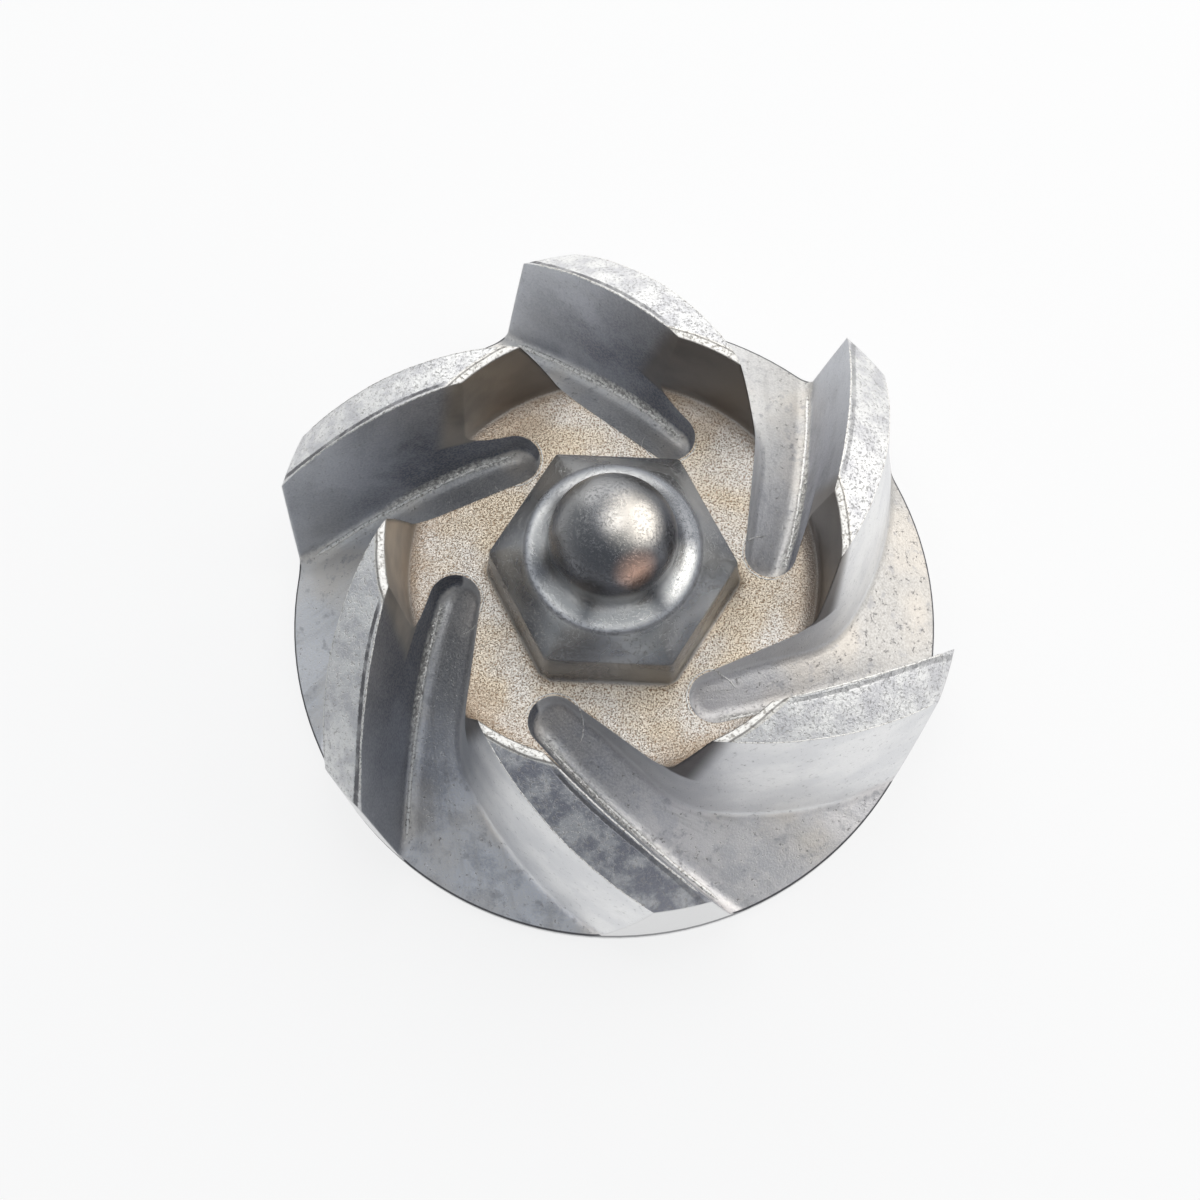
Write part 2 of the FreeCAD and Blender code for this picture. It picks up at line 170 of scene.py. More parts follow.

# Painted light and shade that change slowly over the casting: a colour, its strength, and the
# bands in mm, each with the direction it is counted in, that it fades in over.
# Painted light and shade on the floors: pinkish light at the bottom right, darker tan at the
# right, pale blue at the bottom left, shade at the inner left, light at the far left.
FLOOR_LIGHT_AND_SHADE = [
    ((0.97, 0.92, 0.91, 1), 0.55, [("down", 4.0, 22.0), ("right", -8.0, 10.0)]),
    ((0.50, 0.475, 0.44, 1), 0.75, [("right", 10.0, 28.0), ("down", 22.0, 8.0)]),
    ((0.86, 0.89, 0.98, 1), 0.6, [("lower_left", 22.0, 44.0)]),
    ((0.36, 0.36, 0.37, 1), 0.55, [("left", -12.0, -1.0), ("outward", 28.0, 21.0)]),
    ((0.93, 0.94, 0.96, 1), 0.55, [("left", 24.0, 36.0)]),
]
# Deeper painted shade on the hollow sides at the lower left, and near the hub on the left half.
HOLLOW_SHADE = [
    ((0.12, 0.125, 0.155, 1), 0.5, [("left", 4.0, 20.0), ("down", -8.0, 4.0)]),
    ((0.11, 0.115, 0.14, 1), 0.5, [("outward", 30.0, 22.0), ("left", -18.0, -4.0)]),
]
# Painted shade on the inner ends of the vanes, except at the far left.
END_SHADE = [
    ((0.15, 0.14, 0.14, 1), 0.78, [("right", -21.0, -9.0)]),
]

# Walls of the vanes. The hollow sides are painted dark as shade, less so towards the rim and the
# top.
WALL_LEVELNESS = (0.35, 0.75)
WALL_FOOT = (3.0, 5.0)
WALL_ROUGHNESS = (0.2, 0.38)
WALL_GLITTER = (0.2, (0.80, 0.80, 0.79, 1))
WALL_SPECKS = (0.5, (0.26, 0.26, 0.27, 1))
HOLLOW_TURN = (-5.0, 6.5, 2.0)
HOLLOW_SHADE_COLOURS = (0.16, 0.17, 0.215, 1), (0.36, 0.375, 0.43, 1)
ROUND_COLOURS = (0.82, 0.825, 0.84, 1), (0.95, 0.95, 0.95, 1)
TIP_COLOUR = (0.74, 0.76, 0.79, 1)
TIP_RADII = (26.0, 40.0)
TIP_LEVELS = (16.0, 30.0)
TIP_BY_RADIUS = 0.5
TIP_BY_LEVEL = 0.3

# Glittering line along the root of a hollow side.
ROOT_OFFSET = (-0.2, 0.15, 0.7)
ROOT_RADII = (19.0, 20.5)
ROOT_TOP = (15.6, 16.2)
ROOT_LEVELNESS = (0.1, 0.4)
ROOT_FADE_RADII = (27.0, 32.0)
ROOT_FADE = 0.75
ROOT_STRENGTH = 0.8
ROOT_COLOURS = (0.32, 0.31, 0.30, 1), (0.86, 0.85, 0.81, 1)
ROOT_ROUGHNESS = 0.4
ROOT_RISE = 0.3

# Lands on top of the vanes, and the narrow strip around the eye.
LAND_DEPTH = (LAND_RADIUS, 0.12, 0.1)
LAND_START = (24.9, 25.2)
LAND_LEVELNESS = (0.3, 0.4)
LAND_COLOURS = (0.68, 0.68, 0.70, 1), (0.92, 0.92, 0.91, 1)
LAND_PITS = (0.65, (0.40, 0.39, 0.38, 1))
LAND_ROUGHNESS = 0.47
LAND_FINE_RISE = 0.07
LAND_PIT_DEPTH = 0.06
# Painted shade, bluish and patchy, on the land at the bottom.
LOWEST_LAND_ANGLE = -99.0
LOWEST_LAND_REACH = (0.0, 23.0, 8.0)
LOWEST_LAND_BAND = (0.62, 0.42)
LOWEST_LAND_SHADE_STRENGTH = (0.35, 0.45)
LOWEST_LAND_SHADE_COLOUR = (0.22, 0.23, 0.28, 1)
STRIP_DEPTH = (STRIP_LEVEL, 0.1, 0.1)
STRIP_LEVELNESS = (0.6, 0.8)
STRIP_PITTING = 0.7
STRIP_COLOURS = (0.92, 0.90, 0.86, 1), (0.45, 0.41, 0.36, 1)
SEAM_WAVE = 0.8
SEAM_PLACE = (25.75, 0.05, 0.12)
SEAM_PAINT = (0.7, (0.16, 0.15, 0.14, 1))
LIP_PLACE = (EYE_RADIUS, 0.06, 0.06)
LIP_LEVELS = (STRIP_LEVEL - 0.4, STRIP_LEVEL - 0.3)
LIP_PAINT = (0.7, (0.14, 0.13, 0.12, 1))
GROOVE_RAGGEDNESS = 0.3
GROOVE_OFFSET = (-0.35, 0.16, 0.17)
GROOVE_RADII = (25.5, 26.5)
GROOVE_BREAKS = (0.35, 0.62)
# The groove's dark line is doubled in strength on the left as painted shade.
GROOVE_SHADE_LEFTWARD = (12.0, -8.0)
GROOVE_SHADE_STRENGTH = (0.5, 0.5)
GROOVE_COLOUR = (0.17, 0.17, 0.18, 1)
GROOVE_ROUGHNESS = 0.5
GROOVE_DEPTH = 0.1

# Inner ends of the vanes, on the eye's wall.
END_PLACE = (0.5 * (EYE_RADIUS + EYE_FOOT_RADIUS), 0.62, 1.3)
END_LEVELS = (17.9, 18.6)
END_LEVELNESS = (0.45, 0.6)
END_COLOURS = (0.35, 0.325, 0.30, 1), (0.56, 0.51, 0.45, 1)
END_ROUGHNESS = 0.42
END_RISE = 0.02

# Plateau, with painted brown shade towards the eye's wall and a painted shadow at the wall's foot
# on the right.
PLATEAU_WAVE = 2.0
PLATEAU_DEPTH = (PLATEAU_LEVEL, 0.9, 1.3)
PLATEAU_LEVELNESS = (0.25, 0.75)
PLATEAU_BOTTOM = (PLATEAU_LEVEL - 0.35, PLATEAU_LEVEL - 0.1)
PLATEAU_EDGE = (EYE_RADIUS, EYE_RADIUS + 0.2)
GRAIN_LIGHT = (1.0, 0.955, 0.89, 1), (0.97, 0.85, 0.68, 1)
GRAIN_DARK = (0.47, 0.37, 0.29, 1), (0.41, 0.29, 0.19, 1)
GRAIN_RISE = 0.15
PLATEAU_ROUGHNESS = 0.46
# Painted brown shade towards the eye's wall.
BROWN_SHADE_WAVE = 8.0
BROWN_SHADE_RADII = (22.5, 28.0)
BROWN_SHADE_PAINT = (0.55, (0.56, 0.43, 0.33, 1))
# Painted shadow at the foot of the eye's wall, on the right.
FOOT_SHADOW_WAVE = 1.5
FOOT_SHADOW_RADII = (21.4, 23.6)
FOOT_SHADOW_RIGHTWARD = (13.0, 21.0)
FOOT_SHADOW_PAINT = (0.75, (0.21, 0.19, 0.18, 1))

# Hub: hexagon, neck and dome.
HUB_EDGE = (HUB_RADIUS, HUB_RADIUS + 0.3)
HUB_FOOT = (17.75, 18.3)
HUB_COLOURS = (0.34, 0.35, 0.365, 1), (0.60, 0.605, 0.60, 1)
HUB_ROUGHNESS = (0.16, 0.20)
HUB_TOOTH_RISE = 0.015
HUB_SMEAR_RISE = 0.12
HUB_PIT_DEPTH = 0.03
HUB_PIT_BAND = (0.5, 1.0)
HUB_PIT_CLOUD_BAND = (0.5, 0.6)
HUB_PITS = (0.5, (0.16, 0.16, 0.16, 1))
# Painted shade on the hexagon's upright flats.
FLAT_LEVELNESS = (0.5, 0.2)
FLAT_SHADE_PAINT = (0.5, (0.17, 0.17, 0.18, 1))
UPPER_LEVELS = (DOME_LEVEL, DOME_LEVEL + 0.6)
BALL_EDGE = (6.8, 7.1)
# The dome's ball is painted dark as shade and lighter on its upper left as painted light.
BALL_SHADE_AND_LIGHT_COLOURS = (0.12, 0.125, 0.14, 1), (0.42, 0.42, 0.42, 1)
BALL_LIT_UPPER_LEFTWARD = (-3.0, 9.0)
BALL_LIGHT_BY_SIDE = 0.75
BALL_BY_SMEAR = 0.25
# A painted highlight on the dome, cream with a ragged edge.
DOME_HIGHLIGHT_CENTRE = (2.2, -0.2, 37.6)
DOME_HIGHLIGHT_RAGGEDNESS = 1.6
DOME_HIGHLIGHT_REACH = (1.0, 4.4)
DOME_HIGHLIGHT_COLOUR = (0.84, 0.79, 0.72, 1)
# A painted warm reflection on the dome, below its highlight.
WARM_REFLECTION_CENTRE = (2.2, -4.5, 35.0)
WARM_REFLECTION_REACH = (0.3, 3.0)
WARM_REFLECTION_COLOUR = (0.84, 0.55, 0.43, 1)
NECK_PLACE = (8.4, 1.2, 0.25)
NECK_LEVELS = (DOME_LEVEL - 0.8, DOME_LEVEL - 0.4)
# The neck is painted dark as shade between painted highlights.
NECK_HIGHLIGHT_PLACE = (8.1, 0.6, 0.8)
NECK_SHADE_AND_HIGHLIGHT_COLOURS = (0.27, 0.28, 0.30, 1), (0.95, 0.95, 0.93, 1)
# Painted highlights round the neck: middle, reach and fading in degrees, and strength.
NECK_HIGHLIGHTS = [(165.0, 8.0, 24.0, 0.9), (-133.0, 8.0, 20.0, 0.75), (-83.0, 14.0, 20.0, 0.95),
                (-24.0, 14.0, 18.0, 1.0), (95.0, 25.0, 35.0, 0.45)]
# Painted shade in the crease at the neck's foot.
CREASE_PLACE = (RING_RADIUS, 0.06, 0.22)
CREASE_SHADE_PAINT = (0.75, (0.17, 0.17, 0.18, 1))

# Turned outside and back, and the bore.
OUTSIDE_RADII = (RIM_RADIUS - 0.09, RIM_RADIUS - 0.04)
OUTSIDE_COLOURS = (0.66, 0.66, 0.66, 1), (0.95, 0.95, 0.95, 1)
OUTSIDE_ROUGHNESS = 0.38
# A line of painted shade along the rim's upper corner.
CORNER_RADII = (RIM_RADIUS - 0.25, RIM_RADIUS - 0.12)
CORNER_LEVELS = (RIM_CORNER_LEVEL, 0.75, 0.25)
CORNER_SHADE_COLOUR = (0.13, 0.13, 0.14, 1)
BACK_FACING = (0.5, 0.8)
BACK_LEVELS = (0.1, 0.3)
BACK_COLOURS = (0.46, 0.46, 0.47, 1), (0.72, 0.72, 0.71, 1)
BACK_ROUGHNESS = (0.2, 0.26)
BORE_EDGE = (BORE_RADIUS + 1.3, BORE_RADIUS + 1.5)
BORE_END = (25.6, 25.8)
BORE_START = (0.05, 0.2)
BORE_COLOUR = (0.50, 0.50, 0.50, 1)
BORE_ROUGHNESS = 0.3
TURNED_RISE = 0.03

# Metal as a whole: how metallic it is, and how its edges are rounded in mm.
CAST_METALLIC = 0.92
CUT_METALLIC = 0.95
EDGE_ROUNDING = 0.4
HUB_ROUNDING = 0.9
PIECE_ROUNDING = 0.05
ROUNDING_SAMPLES = 2
BURR_COLOURS = (0.34, 0.32, 0.30, 1), (0.93, 0.92, 0.89, 1)
BURR_ROUGHNESS = (0.3, 0.25)
BURR_RISE = 0.06
THREAD_COLOURS = (0.42, 0.42, 0.43, 1), (0.66, 0.66, 0.65, 1)
THREAD_ROUGHNESS = (0.2, 0.22)
THREAD_RISE = 0.02

# Small torn pieces, in mm. A sink is how deep a bead's or a grain's middle lies
# under the casting's surface. The root ridge's thickness and unevenness are
# each a growth along the ridge and a start.
SEED = 11
ABOVE_CASTING = 60.0
BEAD_SIDES = 6
BEAD_END_START = 0.25
BEAD_END_GROWTH = 0.15
ROOT_POINTS = 120
ROOT_WANDER = 0.12
ROOT_SHIFT = 0.25
ROOT_SINK = 0.06
ROOT_THICKNESS = (0.19, 0.15)
ROOT_UNEVENNESS = (-0.24, 0.3)
ROOT_GRAINS = 40
GRAIN_SPAN = 0.6
GRAIN_CROWDING = 1.3
GRAIN_OFFSETS = (-0.55, 0.45)
GRAIN_RADII = (0.08, 0.2)
GRAIN_STRETCH = (0.75, 1.25)
GRAIN_SINK = 0.03
EDGE_POINTS = 110
EDGE_WANDER = 0.03
EDGE_SINK = 0.03
EDGE_UNEVENNESS = 0.3
HOLLOW_EDGE_INSET = -0.12
HOLLOW_EDGE_THICKNESS = 0.11
ROUND_EDGE_INSET = 0.12
ROUND_EDGE_THICKNESS = 0.07
LIP_POINTS = 60
LIP_HALF_SWEEP = math.radians(100.0)
LIP_CLEARANCE = 0.12
LIP_WANDER = 0.04
LIP_SINK = 0.02
LIP_THICKNESS = 0.09
LIP_UNEVENNESS = 0.35

# Thread in the bore. Its ridge is a trapezium, wide at the wall.
THREAD_PITCH = 1.75
THREAD_FIRST = 2.2
THREAD_LAST = 20.0
THREAD_STEPS = 48
THREAD_HEIGHT = 0.32
THREAD_RUNOUT = 20
THREAD_ROOT = 0.1
THREAD_HALF_FOOT = 0.75
THREAD_HALF_CREST = 0.12


def add_camera():
    place = AIM_POINT + CAMERA_DISTANCE * Vector((0.0, -math.sin(CAMERA_TILT),
                                                  math.cos(CAMERA_TILT)))
    ahead = (AIM_POINT - place).normalized()
    right = Vector((1.0, 0.0, 0.0))
    up = right.cross(ahead)
    ahead = (ahead + AIM_RIGHT * right + AIM_UP * up).normalized()
    right = ahead.cross(up).normalized()
    up = right.cross(ahead)
    across = right * math.cos(CAMERA_ROLL) + up * math.sin(CAMERA_ROLL)
    above = up * math.cos(CAMERA_ROLL) - right * math.sin(CAMERA_ROLL)
    lens = bpy.data.cameras.new("camera")
    lens.lens = FOCAL_MM
    lens.sensor_width = SENSOR_MM
    lens.clip_start = NEAREST_SEEN
    camera = bpy.data.objects.new("camera", lens)
    turn = Matrix((across, above, -ahead)).transposed()
    camera.matrix_world = Matrix.Translation(place) @ turn.to_4x4()
    bpy.context.scene.collection.objects.link(camera)
    bpy.context.scene.camera = camera


def add_soft_box(name, place_mm, width_mm, height_mm, watts, colour):
    """A rectangular lamp that looks at the object."""
    lamp = bpy.data.lights.new(name, "AREA")
    lamp.shape = "RECTANGLE"
    lamp.size = width_mm * MM
    lamp.size_y = height_mm * MM
    lamp.energy = watts
    lamp.color = colour
    holder = bpy.data.objects.new(name, lamp)
    place = Vector(place_mm) * MM
    holder.location = place
    holder.rotation_euler = (LAMP_TARGET - place).to_track_quat("-Z", "Y").to_euler()
    bpy.context.scene.collection.objects.link(holder)


class Nodes:
    """Short way of writing a material's nodes."""

    def __init__(self, tree):
        self.tree = tree

    def add(self, kind, inputs=None, **settings):
        node = self.tree.nodes.new("ShaderNode" + kind)
        for key, setting in settings.items():
            setattr(node, key, setting)
        for key, source in (inputs or {}).items():
            self.feed(node.inputs[key], source)
        return node

    def feed(self, socket, source):
        if isinstance(source, bpy.types.NodeSocket):
            self.tree.links.new(source, socket)
        elif isinstance(source, bpy.types.Node):
            self.tree.links.new(source.outputs[0], socket)
        else:
            socket.default_value = source

    def math(self, operation, first, second=0.0, third=0.0):
        inputs = {0: first, 1: second, 2: third}
        return self.add("Math", inputs, operation=operation).outputs[0]

    def vector(self, operation, first, second, output=0):
        node = self.add("VectorMath", {0: first, 1: second}, operation=operation)
        return node.outputs[output]

    def product(self, first, *others):
        for other in others:
            first = self.math("MULTIPLY", first, other)
        return first

    def total(self, first, second):
        return self.math("ADD", first, second)

    def less(self, first, second):
        return self.math("SUBTRACT", first, second)

    def inverse(self, value):
        return self.less(1.0, value)

    def length(self, across, rise):
        return self.math("SQRT", self.total(self.product(across, across),
                                            self.product(rise, rise)))

    def line(self, value, slope, start):
        """A value times the slope, plus the start."""
        return self.math("MULTIPLY_ADD", value, slope, start)

    def centred(self, value, width):
        """A noise value as a number around 0, spread over a width."""
        return self.product(self.less(value, 0.5), width)

    def mix(self, factor, first, second):
        """The first colour at factor 0 and the second at 1."""
        node = self.add("Mix", data_type="RGBA")
        self.feed(node.inputs["Factor"], factor)
        self.feed(node.inputs[6], first)
        self.feed(node.inputs[7], second)
        return node.outputs[2]

    def tint(self, colour, mask, strength, paint):
        """A colour with a paint laid over it where the mask is."""
        return self.mix(self.product(mask, strength), colour, paint)

    def blend(self, factor, first, second):
        """The first number at factor 0 and the second at 1."""
        node = self.add("Mix", {0: factor}, data_type="FLOAT")
        self.feed(node.inputs[2], first)
        self.feed(node.inputs[3], second)
        return node.outputs[0]

    def step(self, value, low, high):
        """0 at low, 1 at high, and smooth between."""
        node = self.add("MapRange", {"Value": value, "From Min": low, "From Max": high},
                        interpolation_type="SMOOTHSTEP")
        return node.outputs[0]

    def near(self, value, centre, reach, soft):
        """1 within reach of the centre, fading to 0 over soft."""
        away = self.math("ABSOLUTE", self.less(value, centre))
        return self.inverse(self.step(away, reach, reach + soft))

    def turned(self, angle, middle, half_range):
        """Degrees from the middle, wrapped to half a range on either side."""
        return self.math("WRAP", self.less(angle, middle), half_range, -half_range)

    def scaled(self, where, factors):
        return self.vector("MULTIPLY", where, factors)

    def object_mm(self):
        """The point's place in the object, in mm."""
        return self.scaled(self.add("TexCoord").outputs["Object"], (1 / MM, 1 / MM, 1 / MM))

    def noise(self, where, pattern):
        if pattern.shift:
            where = self.vector("ADD", where, pattern.shift)
        node = self.add("TexNoise", {"Vector": where, "Scale": pattern.scale,
                                     "Detail": pattern.detail, "Roughness": pattern.roughness,
                                     "Distortion": pattern.distortion})
        return node.outputs[0]


def new_material(name):
    material = bpy.data.materials.new(name)
    material.use_nodes = True
    material.node_tree.nodes.clear()
    return material, Nodes(material.node_tree)


class Surface:
    """A colour, a roughness and a height in mm, laid down region by region."""

    def __init__(self, nodes, colour, roughness, height):
        self.n = nodes
        self.colour = colour
        self.roughness = roughness
        self.height = height

    def lay(self, mask, colour=None, roughness=None, height=None):
        if colour is not None:
            self.colour = self.n.mix(mask, self.colour, colour)
        if roughness is not None:
            self.roughness = self.n.blend(mask, self.roughness, roughness)
        if height is not None:
            self.height = self.n.blend(mask, self.height, height)

    def paint(self, mask, strength, colour):
        self.lay(self.n.product(mask, strength), colour)

    def finish(self, metallic, edge_radius):
        n = self.n
        rounded = n.add("Bevel", {"Radius": edge_radius}, samples=ROUNDING_SAMPLES)
        bump = n.add("Bump", {"Height": self.height, "Strength": 1.0, "Distance": MM,
                              "Normal": rounded})
        shader = n.add("BsdfPrincipled", {"Base Color": self.colour, "Metallic": metallic,
                                          "Roughness": self.roughness, "Normal": bump})
        out = n.add("OutputMaterial")
        n.feed(out.inputs["Surface"], shader.outputs[0])


def parabola(points):
    """The three numbers of the parabola through a curve's ends and middle."""
    (x0, y0), (x1, y1), (x2, y2) = points[0], points[len(points) // 2], points[-1]
    bend = ((y2 - y0) / (x2 - x0) - (y1 - y0) / (x1 - x0)) / (x2 - x1)
    slope = (y1 - y0) / (x1 - x0) - bend * (x0 + x1)
    return bend, slope, y0 - slope * x0 - bend * x0 * x0


class Spot:
    """Where a point of the casting lies, in mm and degrees, and its mottling."""

    def __init__(self, n):
        self.n = n
        self.place = n.object_mm()
        self.x, self.y, self.z = n.add("SeparateXYZ", {0: self.place}).outputs
        normal = n.add("TexCoord").outputs["Normal"]
        self.up = n.add("SeparateXYZ", {0: normal}).outputs[2]
        self.levelness = n.math("ABSOLUTE", self.up)
        self.radius = n.length(self.x, self.y)
        self.angle = n.product(n.math("ARCTAN2", self.y, self.x), math.degrees(1.0))
        self.past_root = self.turn_past(ROOT_LINE[ROOT_FIT_START:])
        down = n.product(self.y, -1.0)
        left = n.product(self.x, -1.0)
        self.towards = {"right": self.x, "left": left, "down": down,
                        "lower_left": n.total(down, left), "outward": self.radius}
        paths = {"place": self.place, "flow": self.flow_path(),
                 "squashed": n.scaled(self.place, SMEAR_SQUASH),
                 "height": n.add("CombineXYZ", {2: self.z}),
                 "depth": n.add("CombineXYZ", {0: self.z}),
                 "outward": n.add("CombineXYZ", {0: self.radius})}
        self.noise = {name: n.noise(paths[pattern.path], pattern)
                      for name, pattern in PATTERNS.items()}
        self.spots = {name: n.step(self.noise[name], *pattern.band)
                      for name, pattern in PATTERNS.items() if pattern.band}

    def turn_past(self, curve):
        """Degrees past a curve, counted within the point's own sixth of the casting."""
        n = self.n
        bend, slope, start = parabola(curve)
        along_curve = n.line(n.line(self.radius, bend, slope), self.radius, start)
        return n.turned(self.angle, along_curve, 0.5 * math.degrees(SIXTH))

    def across(self, turn):
        """Millimetres across a curve, from the degrees past it."""
        return self.n.product(turn, self.radius, math.radians(ACROSS_CURVE))

    def flow_path(self):
        """Coordinates that change slowly along the vanes and fast across them."""
        n = self.n
        swirl = n.product(self.past_root, math.radians(1.0))
        flow = n.add("CombineXYZ", {0: n.product(n.math("COSINE", swirl), FLOW_ROUND),
                                    1: n.product(n.math("SINE", swirl), FLOW_ROUND),
                                    2: n.product(self.radius, FLOW_OUTWARD)})
        return n.vector("ADD", flow, n.scaled(self.place, FLOW_DRIFT))

    def with_light_and_shade(self, colour, light_and_shade):
        """A colour with painted light and shade laid over it, fading in by place."""
        for paint, strength, bands in light_and_shade:
            masks = [self.n.step(self.towards[way], low, high) for way, low, high in bands]
            colour = self.n.tint(colour, self.n.product(*masks), strength, paint)
        return colour

    def distance(self, centre):
        return self.n.vector("DISTANCE", self.place, centre, "Value")


def casting_skin(n, spot):
    """Skin as cast: cloudy grey with flow marks that follow the vanes, under painted light and
    shade placed by side.
    """
    noise = spot.noise
    colour = n.mix(n.step(noise["cloud"], *SKIN_BAND), *SKIN_COLOURS)
    # Painted light and shade over the floors, placed by side.
    colour = spot.with_light_and_shade(colour, FLOOR_LIGHT_AND_SHADE)
    # Mottling of the skin, laid towards the bottom and stronger on the left as painted shade.
    mottle_shade = n.product(n.step(spot.towards["down"], *MOTTLE_SHADE_DOWN), spot.spots["mottle"])
    strength = n.line(n.step(spot.x, *MOTTLE_SHADE_LEFTWARD), *MOTTLE_SHADE_STRENGTH)
    colour = n.tint(colour, mottle_shade, strength, MOTTLE_SHADE_COLOUR)
    for name, strength, paint in SKIN_MARKS:
        colour = n.tint(colour, spot.spots[name], strength, paint)
    rise = n.total(n.product(noise["fine"], SKIN_FINE_RISE),
                   n.product(noise["flow"], SKIN_FLOW_RISE))
    dents = n.less(n.product(noise["cloud"], SKIN_CLOUD_RISE),
                   n.product(spot.spots["speck"], SKIN_SPECK_DEPTH))
    return Surface(n, colour, n.line(noise["cloud"], *SKIN_ROUGHNESS), n.total(rise, dents))


def lay_walls(n, spot, metal):
    """Walls of the vanes: smoother and cooler, with painted shade on the hollow side."""
    wall = n.product(n.inverse(n.step(spot.levelness, *WALL_LEVELNESS)),
                     n.step(spot.z, *WALL_FOOT))
    # The hollow side painted dark as shade, lighter towards the rim and the top.
    shaded_hollow = n.mix(spot.spots["cloud"], *HOLLOW_SHADE_COLOURS)
    tip = n.line(n.step(spot.radius, *TIP_RADII), TIP_BY_RADIUS,
                 n.product(n.step(spot.z, *TIP_LEVELS), TIP_BY_LEVEL))
    shaded_hollow = n.mix(tip, shaded_hollow, TIP_COLOUR)
    # Deeper painted shade on the hollow sides at the left.
    shaded_hollow = spot.with_light_and_shade(shaded_hollow, HOLLOW_SHADE)
    round_colour = n.mix(spot.spots["cloud"], *ROUND_COLOURS)
    colour = n.mix(n.near(spot.past_root, *HOLLOW_TURN), round_colour, shaded_hollow)
    colour = n.tint(colour, spot.spots["fine"], *WALL_GLITTER)
    colour = n.tint(colour, spot.spots["speck"], *WALL_SPECKS)
    metal.lay(wall, colour, n.line(spot.noise["cloud"], *WALL_ROUGHNESS))


def lay_roots(n, spot, metal):
    """Rough glittering line where a hollow side meets the floor."""
    fading = n.product(n.step(spot.radius, *ROOT_FADE_RADII), ROOT_FADE)
    root = n.product(n.near(spot.across(spot.past_root), *ROOT_OFFSET),
                     n.step(spot.radius, *ROOT_RADII), n.inverse(n.step(spot.z, *ROOT_TOP)),
                     n.step(spot.up, *ROOT_LEVELNESS), n.inverse(fading))
    metal.lay(n.product(root, ROOT_STRENGTH), n.mix(spot.spots["crumb"], *ROOT_COLOURS),
              ROOT_ROUGHNESS, n.product(spot.noise["crumb"], ROOT_RISE))


def lay_lands(n, spot, metal):
    """Lands: pale, dull and pitted, with painted shade on the lowest land and a dark broken line
    along the hollow edge, stronger on the left as painted shade.
    """
    noise, spots = spot.noise, spot.spots
    arc = n.length(n.less(spot.radius, LAND_CENTRE_R), n.less(spot.z, LAND_CENTRE_Z))
    land = n.product(n.near(arc, *LAND_DEPTH), n.step(spot.radius, *LAND_START),
                     n.step(spot.up, *LAND_LEVELNESS))
    strip = n.product(n.near(spot.z, *STRIP_DEPTH), n.step(spot.up, *STRIP_LEVELNESS))
    top = n.math("MAXIMUM", land, strip)

    colour = n.mix(spots["patch"], *LAND_COLOURS)
    # Painted shade on the land at the bottom.
    from_lowest = n.turned(spot.angle, LOWEST_LAND_ANGLE, HALF_TURN_DEGREES)
    strength = n.line(n.step(noise["patch"], *LOWEST_LAND_BAND), *LOWEST_LAND_SHADE_STRENGTH)
    colour = n.tint(colour, n.near(from_lowest, *LOWEST_LAND_REACH), strength,
                    LOWEST_LAND_SHADE_COLOUR)
    colour = n.tint(colour, spots["pit"], *LAND_PITS)
    height = n.less(n.product(noise["fine"], LAND_FINE_RISE),
                    n.product(spots["pit"], LAND_PIT_DEPTH))
    metal.lay(top, colour, LAND_ROUGHNESS, height)
    metal.lay(strip, n.mix(n.product(spots["pit"], STRIP_PITTING), *STRIP_COLOURS))

    wavy_radius = n.total(spot.radius, n.product(noise["cloud"], SEAM_WAVE))
    metal.paint(n.product(n.near(wavy_radius, *SEAM_PLACE), top), *SEAM_PAINT)
    lip = n.product(n.near(spot.radius, *LIP_PLACE), n.step(spot.z, *LIP_LEVELS))
    metal.paint(lip, *LIP_PAINT)

    ragged = n.total(spot.across(spot.turn_past(LAND_EDGE)),
                     n.product(noise["fine"], GROOVE_RAGGEDNESS))
    # A dark groove line, drawn stronger on the left as painted shade.
    groove = n.product(n.near(ragged, *GROOVE_OFFSET), land, n.step(spot.radius, *GROOVE_RADII),
                       n.line(spots["break"], *GROOVE_BREAKS),
                       n.line(n.step(spot.x, *GROOVE_SHADE_LEFTWARD), *GROOVE_SHADE_STRENGTH))
    metal.lay(groove, GROOVE_COLOUR, GROOVE_ROUGHNESS, n.less(height, GROOVE_DEPTH))


def lay_ends(n, spot, metal):
    """Inner ends of the vanes: warm, darker skin, with painted shade except at the far left."""
    end = n.product(n.near(spot.radius, *END_PLACE), n.step(spot.z, *END_LEVELS),
                    n.inverse(n.step(spot.up, *END_LEVELNESS)))
    colour = spot.with_light_and_shade(n.mix(spot.spots["cloud"], *END_COLOURS), END_SHADE)
    metal.lay(end, colour, END_ROUGHNESS, n.product(spot.noise["fine"], END_RISE))


